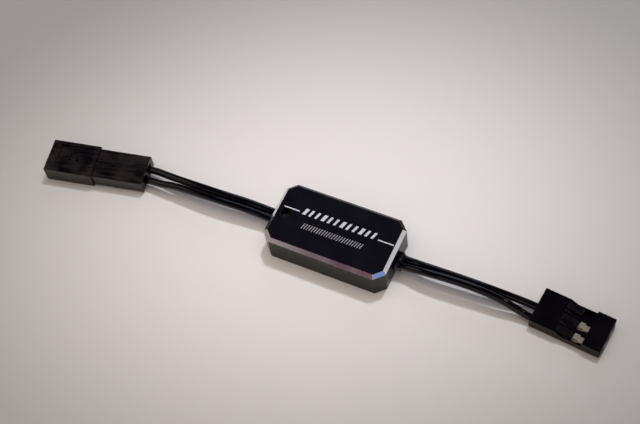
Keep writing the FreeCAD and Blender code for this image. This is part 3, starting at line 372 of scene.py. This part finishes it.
@dataclass
class Case:
    """The machined case with its bright bevels and its openings. Sizes in millimetres."""

    length: float = CASE_LENGTH
    width: float = 13.8
    height: float = 6.3
    bevel: float = 0.7             # width and drop of the bevel round the top
    clip: float = 1.85             # how much of each corner is clipped off, along the sides
    wall: float = 1.1
    roof: float = 1.1
    ledge: float = 0.5             # width of the rebate's seat for the cover
    cover: float = 0.8             # thickness of the cover that sits in the rebate
    lamp_x: float = -10.3
    lamp_diameter: float = 1.9
    lamp_edge: float = 0.06        # how far the rim of the lamp's hole is broken
    slot_height: float = SLOT_HEIGHT
    slot_radius: float = 1.05
    input_pitch: float = 1.6
    output_pitch: float = 1.86
    edge: float = 0.05             # rounding that machining leaves
    overcut: float = 0.6           # how far the slot cutter runs past each face

    def ring(self, inset: float, height: float) -> list[Vector]:
        """Draw the eight-sided outline at one height.

        Args:
            inset: how far the outline is moved inwards.
            height: its height above the table.

        Returns:
            Eight corners, anticlockwise from the right end.
        """
        half_x, half_y = self.length / 2 - inset, self.width / 2 - inset
        cut = self.clip - (2 - math.sqrt(2)) * inset
        corners = [
            (half_x, half_y - cut), (half_x - cut, half_y),
            (cut - half_x, half_y), (-half_x, half_y - cut),
            (-half_x, cut - half_y), (cut - half_x, -half_y),
            (half_x - cut, -half_y), (half_x, cut - half_y),
        ]
        return [Vector((x, y, height)) for x, y in corners]

    def slot_tool(self, side: int, pitch: float, steps: int = 32) -> bpy.types.Object:
        """Make the racetrack cutter for the wires' slot in one end wall.

        Args:
            side: 1 for the input end, -1 for the output end.
            pitch: distance between the two wires' middles.
            steps: points round the cutter.

        Returns:
            The closed cutter.
        """
        section = []
        for step in range(steps):
            turn = 2 * math.pi * step / steps
            across = self.slot_radius * math.cos(turn)
            across += math.copysign(pitch / 2, math.cos(turn))
            section.append((across, self.slot_height + self.slot_radius * math.sin(turn)))
        ends = (side * (self.length / 2 - self.wall - self.overcut),
                side * (self.length / 2 + self.overcut))
        rings = [[Vector((x, y, z)) for y, z in section] for x in ends]
        return mesh_object("slot_tool", loft(rings))

    def lamp_tool(self, steps: int = 48) -> bpy.types.Object:
        """Make the cutter for the lamp's hole, flared at the top where its rim is broken.

        Args:
            steps: points round the cutter.

        Returns:
            The closed cutter.
        """
        radius, sink, rise = self.lamp_diameter / 2, 0.4, 0.1    # past the roof's two faces
        levels = [(self.height - self.roof - sink, radius),
                  (self.height - self.lamp_edge, radius),
                  (self.height + rise, radius + self.lamp_edge + rise)]
        rings = [
            [Vector((self.lamp_x + r * math.cos(a), r * math.sin(a), z))
             for a in (2 * math.pi * step / steps for step in range(steps))]
            for z, r in levels
        ]
        return mesh_object("lamp_tool", loft(rings))

    def build(self) -> bpy.types.Object:
        """Machine the shell: outside, bright bevels, cavity, rebate, slots and lamp hole.

        Returns:
            The shell, which stands for the CAD node.
        """
        roof = self.height - self.roof
        shoulder = self.wall - self.ledge
        rings = [
            self.ring(self.wall, roof), self.ring(self.wall, self.cover),
            self.ring(shoulder, self.cover), self.ring(shoulder, 0.0), self.ring(0.0, 0.0),
            self.ring(0.0, self.height - self.bevel), self.ring(self.bevel, self.height),
        ]
        dyed, bright = 0, 1
        rows = (dyed,) * (len(rings) - 2) + (bright,)
        shell = mesh_object("machined_case", loft(rings, rows))
        for face in shell.data.polygons:
            if face.material_index == bright and face.normal.y > 0.3:
                face.material_index = dyed     # the rear bevels keep their dye
        dress(shell, ANODISED, BRIGHT_CUT)
        carve(shell, [self.slot_tool(1, self.input_pitch),
                      self.slot_tool(-1, self.output_pitch), self.lamp_tool()])
        soften(shell, self.edge, segments=2)
        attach(shell, BODY)
        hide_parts("case_shell")
        log.info("machined case: %d faces", len(shell.data.polygons))
        return shell


@dataclass
class PrintedMarks:
    """Plain marks on the case's top: two short lines, slanted bars and a fainter hatched row."""

    height: float = 6.306          # top of the ink film, in millimetres like the rest
    line_length: float = 3.3
    line_width: float = 0.24
    lines: tuple[tuple[float, float], ...] = ((-11.2, 1.15), (8.6, 0.95))   # left end, middle
    bars: int = 12
    bar_left: float = -7.3
    bar_pitch: float = 1.31
    bar_width: float = 0.5
    bar_extra: float = 0.2         # every third bar is this much wider
    bar_rows: tuple[float, float] = (0.75, 2.2)
    bar_lean: float = 0.45
    hatches: int = 24
    hatch_left: float = -6.2
    hatch_pitch: float = 0.53
    hatch_width: float = 0.2
    hatch_rows: tuple[float, float] = (-2.2, -0.95)
    hatch_step: float = 0.1        # every second hatch starts this much higher
    hatch_lean: float = 0.36

    def build(self) -> None:
        """Print the bold marks and the faint row, each in its own ink."""
        bold = bmesh.new()
        for start, middle in self.lines:
            self.mark(bold, start, start + self.line_length, middle - self.line_width / 2,
                      middle + self.line_width / 2, 0.0)
        for step in range(self.bars):
            left = self.bar_left + self.bar_pitch * step
            right = left + self.bar_width + self.bar_extra * (step % 3 == 0)
            self.mark(bold, left, right, *self.bar_rows, self.bar_lean)
        faint = bmesh.new()
        low, high = self.hatch_rows
        for step in range(self.hatches):
            left = self.hatch_left + self.hatch_pitch * step
            self.mark(faint, left, left + self.hatch_width,
                      low + self.hatch_step * (step % 2), high, self.hatch_lean)
        for name, shape, ink in (("printed_bars", bold, PRINT_INK),
                                 ("printed_hatch", faint, PRINT_INK_THIN)):
            piece = mesh_object(name, shape)
            dress(piece, ink)
            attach(piece, BODY)
            log.info("%s", name)

    def mark(self, shape: bmesh.types.BMesh, left: float, right: float, low: float,
             high: float, lean: float) -> None:
        """Add one flat slanted mark of ink.

        Args:
            shape: the bmesh that gets it.
            left: left end of its lower edge.
            right: right end of its lower edge.
            low: where its lower edge lies along Y.
            high: where its upper edge lies along Y.
            lean: how far the upper edge is shifted to the right.
        """
        corners = [(left, low), (right, low), (right + lean, high), (left + lean, high)]
        shape.faces.new([shape.verts.new(Vector((x, y, self.height)) * MM) for x, y in corners])


# ------------------------------------------------------------------ leads

@dataclass
class ConnectorFrame:
    """Where a connector lies on the table. Places in millimetres."""

    x: float        # middle of its wire end
    y: float
    turn: float     # degrees from the X axis to the way it points

    def point(self, along: float, across: float, height: float) -> Point:
        """Place that lies so far along, across and above the connector, in millimetres."""
        c, s = math.cos(math.radians(self.turn)), math.sin(math.radians(self.turn))
        return (self.x + along * c - across * s, self.y + along * s + across * c, height)


PLUG = ConnectorFrame(40.36, 1.38, -5.44)
SOCKET = ConnectorFrame(-42.155, -0.324, 191.29)


class Side(Enum):
    """The end of the case that a lead leaves from."""

    INPUT = 1
    OUTPUT = -1


@dataclass
class Wire:
    """One insulated wire, by its route's points in millimetres."""

    node: str
    side: Side
    points: list[Point]
    length: float
    with_pieces: list[str]
    diameter: float = 1.5

    def build(self) -> bpy.types.Object:
        """Returns:
            The wire's curve object.
        """
        data = bpy.data.curves.new(f"{self.node}_insulation", "CURVE")
        data.dimensions = "3D"
        data.bevel_depth = self.diameter / 2 * MM
        data.bevel_resolution = 8
        data.resolution_u = 16
        data.use_fill_caps = True
        spline = data.splines.new("NURBS")
        spline.points.add(len(self.points) - 1)
        for control, point in zip(spline.points, self.points):
            control.co = (*(Vector(point) * MM), 1.0)
        spline.order_u = 3
        spline.use_endpoint_u = True
        spline.use_smooth = True
        wire = bpy.data.objects.new(f"{self.node}_insulation", data)
        bpy.context.scene.collection.objects.link(wire)
        dress(wire, WIRE_PVC)
        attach(wire, BODY)
        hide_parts(self.node)
        log.info("%s: %d route points", self.node, len(self.points))
        return wire


PLUG_PIECES = ["input_plug_housing", "latch_finger_back", "latch_finger_middle",
               "latch_finger_front", "input_contact_middle", "input_contact_front"]
SOCKET_PIECES = ["output_socket_housing", "output_pin_back", "output_pin_front"]
WIRES = [
    Wire("input_wire_back", Side.INPUT, [
        (9.0, 0.8, 2.65), (14.0, 0.8, 2.65), (19.0, 0.35, 3.7), (24.2, 0.56, 3.6),
        (29.8, 0.72, 3.3), (35.0, 1.0, 2.56), PLUG.point(-0.8, 0.0, 1.3),
        PLUG.point(2.0, 0.0, 1.3)],
        length=33.6, with_pieces=PLUG_PIECES),
    Wire("input_wire_front", Side.INPUT, [
        (9.0, -0.8, 2.65), (14.0, -0.8, 2.65), (19.0, -1.1, 4.2), (24.2, -0.83, 4.4),
        (29.4, -0.62, 4.1), (33.6, -0.68, 3.5), (36.9, -0.8, 2.2),
        PLUG.point(-0.8, -2.54, 1.3), PLUG.point(2.0, -2.54, 1.3)],
        length=33.7, with_pieces=PLUG_PIECES),
    Wire("output_wire_back", Side.OUTPUT, [
        (-9.0, 0.93, 2.65), (-14.0, 0.83, 2.75), (-19.2, 0.66, 3.5), (-24.8, 0.29, 3.7),
        (-30.6, 0.25, 3.55), (-36.2, 0.42, 2.95), SOCKET.point(-0.8, -1.27, 1.9),
        SOCKET.point(2.4, -1.27, 1.9)],
        length=36.0, with_pieces=SOCKET_PIECES),
    Wire("output_wire_front", Side.OUTPUT, [
        (-9.0, -0.93, 2.65), (-14.0, -0.78, 2.75), (-19.2, -0.92, 3.5), (-24.8, -1.29, 3.68),
        (-30.4, -1.32, 3.52), (-35.2, -1.28, 2.95), (-38.6, -1.6, 2.3),
        SOCKET.point(-0.8, 1.27, 1.9), SOCKET.point(2.4, 1.27, 1.9)],
        length=35.5, with_pieces=SOCKET_PIECES),
]


@dataclass
class Seal:
    """Sealant round both wires where they leave the case. Sizes in millimetres."""

    node: str
    side: Side
    pitch: float            # distance between the two wires' middles
    reach: float            # how far it stands out of the wall
    radius: float           # half height of the collar
    lump: float             # height of the lumps
    plug_radius: float = 1.01      # half height of the part inside the wall's slot
    plug_depth: float = 1.2
    wall_x: float = CASE_LENGTH / 2
    height: float = SLOT_HEIGHT
    # The collar's outline: share of its reach, and share of its radius there.
    outline: tuple[tuple[float, float], ...] = (
        (0.02, 0.96), (0.2, 1.0), (0.4, 0.98), (0.58, 0.91), (0.74, 0.83), (0.88, 0.74),
        (0.96, 0.64), (1.0, 0.5))

    def swell(self, point: Vector) -> float:
        """Height of the lumps at a point, broad ones with small ones on them."""
        broad = noise.noise(point * 1.3 + Vector((3.1, 0.0, 7.7)))
        return self.lump * (broad + 0.6 * noise.noise(point * 2.9 + Vector((0.0, 5.3, 1.7))))

    def ring(self, out: float, radius: float, steps: int = 40) -> list[Vector]:
        """Draw one racetrack ring of the collar, lumpy outside the wall.

        Args:
            out: how far the ring stands out of the wall.
            radius: its half height before the lumps.
            steps: points round it.

        Returns:
            The ring's points.
        """
        x = self.side.value * (self.wall_x + out)
        ring = []
        for step in range(steps):
            turn = 2 * math.pi * step / steps
            y = radius * math.cos(turn) + math.copysign(self.pitch / 2, math.cos(turn))
            point = Vector((x, y, self.height + radius * math.sin(turn)))
            if out > self.outline[0][0]:
                shift = self.swell(point) * min(1.0, out / self.reach * 2)
                point.z += shift * math.sin(turn)
                point.y += shift * math.cos(turn)
            ring.append(point)
        return ring

    def build(self) -> bpy.types.Object:
        """Loft the collar from inside the slot to its lumpy outer end.

        Returns:
            The seal, which stands for the CAD node.
        """
        levels = [(-self.plug_depth, self.plug_radius), (0.0, self.plug_radius)]
        levels += [(out * self.reach, width * self.radius) for out, width in self.outline]
        seal = mesh_object(f"{self.node}_sealant",
                           loft([self.ring(out, radius) for out, radius in levels]))
        for face in seal.data.polygons:
            face.use_smooth = True
        smooth = seal.modifiers.new("smooth", "SUBSURF")
        smooth.levels = smooth.render_levels = 1
        dress(seal, SEALANT)
        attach(seal, BODY)
        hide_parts(self.node)
        log.info("%s", self.node)
        return seal


SEALS = [
    Seal("input_seal", Side.INPUT, pitch=1.6, reach=1.45, radius=1.28, lump=0.42),
    Seal("output_seal", Side.OUTPUT, pitch=1.7, reach=0.8, radius=1.12, lump=0.3),
]


# ------------------------------------------------------------------ carried nodes

@dataclass
class CarriedNodes:
    """CAD nodes that stay as they are, with finished edges and materials. Edges in millimetres."""

    edges: dict[str, float] = field(default_factory=lambda: {
        "input_plug_housing": 0.1, "output_socket_housing": 0.09, "latch_finger_back": 0.12,
        "latch_finger_middle": 0.12, "latch_finger_front": 0.12, "input_contact_middle": 0.04,
        "input_contact_front": 0.04, "output_pin_back": 0.05, "output_pin_front": 0.05,
        "bottom_cover": 0.06,
    })

    def build(self) -> None:
        """Give every CAD node that still shows its slot's finish and its edges."""
        slots = {row["node"]: row["material_slot"] for row in frame["record"]["subparts"]}
        for name, node in frame["nodes"].items():
            if node.hide_render:
                continue
            dress(node, SLOT_FINISHES[slots[name]])
            if name in self.edges:
                soften(node, self.edges[name], weld=True)
            log.info("%s: carried over, %s", name, SLOT_FINISHES[slots[name]].name)


# ------------------------------------------------------------------ studio

@dataclass(frozen=True)
class SoftBox:
    """A rectangular lamp that faces the object. Sizes and places in metres."""

    name: str
    place: Point
    size: tuple[float, float]
    radiance: float
    colour: str = "#ffffff"
    glare: bool = True      # off for a lamp with a polarising filter, which leaves no glare

    def build(self) -> None:
        """Hang the lamp and aim it at the case."""
        data = bpy.data.lights.new(self.name, "AREA")
        data.shape = "RECTANGLE"
        data.size, data.size_y = self.size
        data.energy = self.radiance * math.pi * self.size[0] * self.size[1]
        data.color = linear(self.colour)[:3]
        lamp = bpy.data.objects.new(self.name, data)
        bpy.context.scene.collection.objects.link(lamp)
        lamp.location = self.place
        lamp.visible_glossy = self.glare
        aim = Vector((0.0, 0.0, 0.002)) - Vector(self.place)
        lamp.rotation_euler = aim.to_track_quat("-Z", "Y").to_euler()


@dataclass
class Studio:
    """Floor, room light, lamps and camera."""

    lamps: tuple[SoftBox, ...] = (
        SoftBox("key", (0.03, 0.24, 0.57), (0.05, 0.05), 200.0, "#e8f2ff", glare=False),
        SoftBox("ceiling", (0.0, 0.0, 0.6), (0.6, 0.6), 1.8, "#fff2e4", glare=False),
        SoftBox("left_fill", (-0.62, -0.10, 0.48), (0.5, 0.5), 0.9, "#fff1e2"),
        SoftBox("window", (-0.13, 0.55, 0.37), (0.30, 0.28), 2.3, "#c0caf4"),
        SoftBox("sparkle", (0.30, 0.20, 0.50), (0.05, 0.05), 16.0, "#fff3e0"),
        SoftBox("front_fill", (0.16, -0.66, 0.52), (0.6, 0.4), 0.8, "#ffeedd"),
        SoftBox("right_card", (0.60, 0.30, 0.20), (0.36, 0.26), 0.52, "#f2f2f4"),
        SoftBox("blue_window", (0.42, -0.33, 0.315), (0.18, 0.16), 0.75, "#8fb0ee"),
        SoftBox("front_card", (-0.325, -0.48, 0.26), (0.30, 0.22), 0.46, "#ffdcd6"),
        SoftBox("brick_wall", (-0.09, -0.55, 0.26), (0.15, 0.22), 0.14, "#f08078"),
    )
    floor_size: float = 1.5        # half its width, in metres like the other places
    floor_drop: float = 0.00002    # keeps the floor just under the object
    # The table's colours paint a pool of light: lit near the object, shaded further away.
    painted_pool_middle: Point = (-0.0053, 0.0059, 0.0)
    painted_pool_falloff: Point = (0.070, 0.055, 1.0)      # distance over which it darkens
    painted_pool_turn: float = 24.9       # degrees that the fade is turned
    floor_painted_lit: str = "#ebe7e2"
    floor_painted_shade: str = "#9b9893"
    room_low: str = "#b3a89c"      # at the horizon
    room_high: str = "#3a3c4c"     # overhead
    room_seen: str = "#d8d6d2"     # where the camera looks past the floor
    lens: float = 70.35            # millimetres, in front of a 36 mm wide sensor
    camera_place: Point = (0.065048, -0.101133, 0.212118)
    # The camera's own axes.
    right: Point = (0.90309, 0.41930, -0.09279)
    down: Point = (0.31876, -0.79929, -0.50945)
    forward: Point = (-0.28778, 0.43050, -0.85548)

    def build_camera(self) -> None:
        """Stand the camera where the object was seen from."""
        data = bpy.data.cameras.new("camera")
        data.sensor_width = 36.0
        data.sensor_fit = "HORIZONTAL"
        data.lens = self.lens
        data.clip_start, data.clip_end = 0.005, 20.0
        camera = bpy.data.objects.new("camera", data)
        bpy.context.scene.collection.objects.link(camera)
        columns = [Vector(self.right), -Vector(self.down), -Vector(self.forward)]
        turn = Matrix(columns).transposed().to_4x4()
        camera.matrix_world = Matrix.Translation(Vector(self.camera_place)) @ turn
        bpy.context.scene.camera = camera

    def build_floor(self) -> None:
        """Lay a pale table with a painted pool of light: its colour darkens gently away from the
        object.
        """
        shape = bmesh.new()
        bmesh.ops.create_grid(shape, x_segments=1, y_segments=1, size=self.floor_size)
        floor = mesh_object("table", shape)
        floor.location.z = -self.floor_drop
        material = bpy.data.materials.new("Table_PaintedLightPool")
        material.use_nodes = True
        tree = material.node_tree
        tree.nodes.clear()
        place = add_node(tree, "ShaderNodeTexCoord").outputs["Object"]
        moved = add_node(tree, "ShaderNodeMapping", {"Vector": place}, vector_type="TEXTURE")
        moved.inputs["Rotation"].default_value = (0.0, 0.0, math.radians(self.painted_pool_turn))
        moved.inputs["Location"].default_value = self.painted_pool_middle
        moved.inputs["Scale"].default_value = self.painted_pool_falloff
        reach = add_node(tree, "ShaderNodeVectorMath", {0: moved.outputs[0]},
                         operation="LENGTH")
        share = add_node(tree, "ShaderNodeMapRange", {
            "Value": reach.outputs["Value"], "From Min": 0.1, "From Max": 1.4},
            interpolation_type="SMOOTHSTEP")
        # Painted light pool: the table's colour goes from lit to shaded away from the object.
        painted_light_pool = add_node(tree, "ShaderNodeMix", {"Factor": share.outputs[0]}, data_type="RGBA")
        painted_light_pool.inputs[6].default_value = linear(self.floor_painted_lit)
        painted_light_pool.inputs[7].default_value = linear(self.floor_painted_shade)
        shader = add_node(tree, "ShaderNodeBsdfPrincipled", {
            "Base Color": painted_light_pool.outputs[2], "Roughness": 0.6})
        add_node(tree, "ShaderNodeOutputMaterial", {"Surface": shader.outputs[0]})
        floor.data.materials.append(material)

    def build_world(self) -> None:
        """Fill the room with soft light, pale at the horizon and dark overhead."""
        world = bpy.data.worlds.new("room")
        bpy.context.scene.world = world
        world.use_nodes = True
        tree = world.node_tree
        tree.nodes.clear()
        way = add_node(tree, "ShaderNodeTexCoord").outputs["Generated"]
        parts = add_node(tree, "ShaderNodeSeparateXYZ", {"Vector": way})
        rise = add_node(tree, "ShaderNodeMapRange", {
            "Value": parts.outputs["Z"], "From Min": 0.02, "From Max": 0.4})
        room = add_node(tree, "ShaderNodeMix", {"Factor": rise.outputs[0]}, data_type="RGBA")
        room.inputs[6].default_value = linear(self.room_low)
        room.inputs[7].default_value = linear(self.room_high)
        ray = add_node(tree, "ShaderNodeLightPath")
        seen = add_node(tree, "ShaderNodeMix", {
            "Factor": ray.outputs["Is Camera Ray"], 6: room.outputs[2]}, data_type="RGBA")
        seen.inputs[7].default_value = linear(self.room_seen)
        back = add_node(tree, "ShaderNodeBackground", {"Color": seen.outputs[2]})
        add_node(tree, "ShaderNodeOutputWorld", {"Surface": back.outputs[0]})

    def build(self) -> None:
        """Set up everything that isn't part of the object."""
        self.build_floor()
        self.build_world()
        for lamp in self.lamps:
            lamp.build()
        bpy.context.scene.view_settings.view_transform = "Standard"
        log.info("studio")


def main() -> None:
    """Build the camera, the cords, the pieces and the studio, in that order."""
    studio = Studio()
    studio.build_camera()
    for wire in WIRES:
        wire.build()
    Case().build()
    PrintedMarks().build()
    for seal in SEALS:
        seal.build()
    CarriedNodes().build()
    studio.build()


if __name__ == "__main__":
    main()
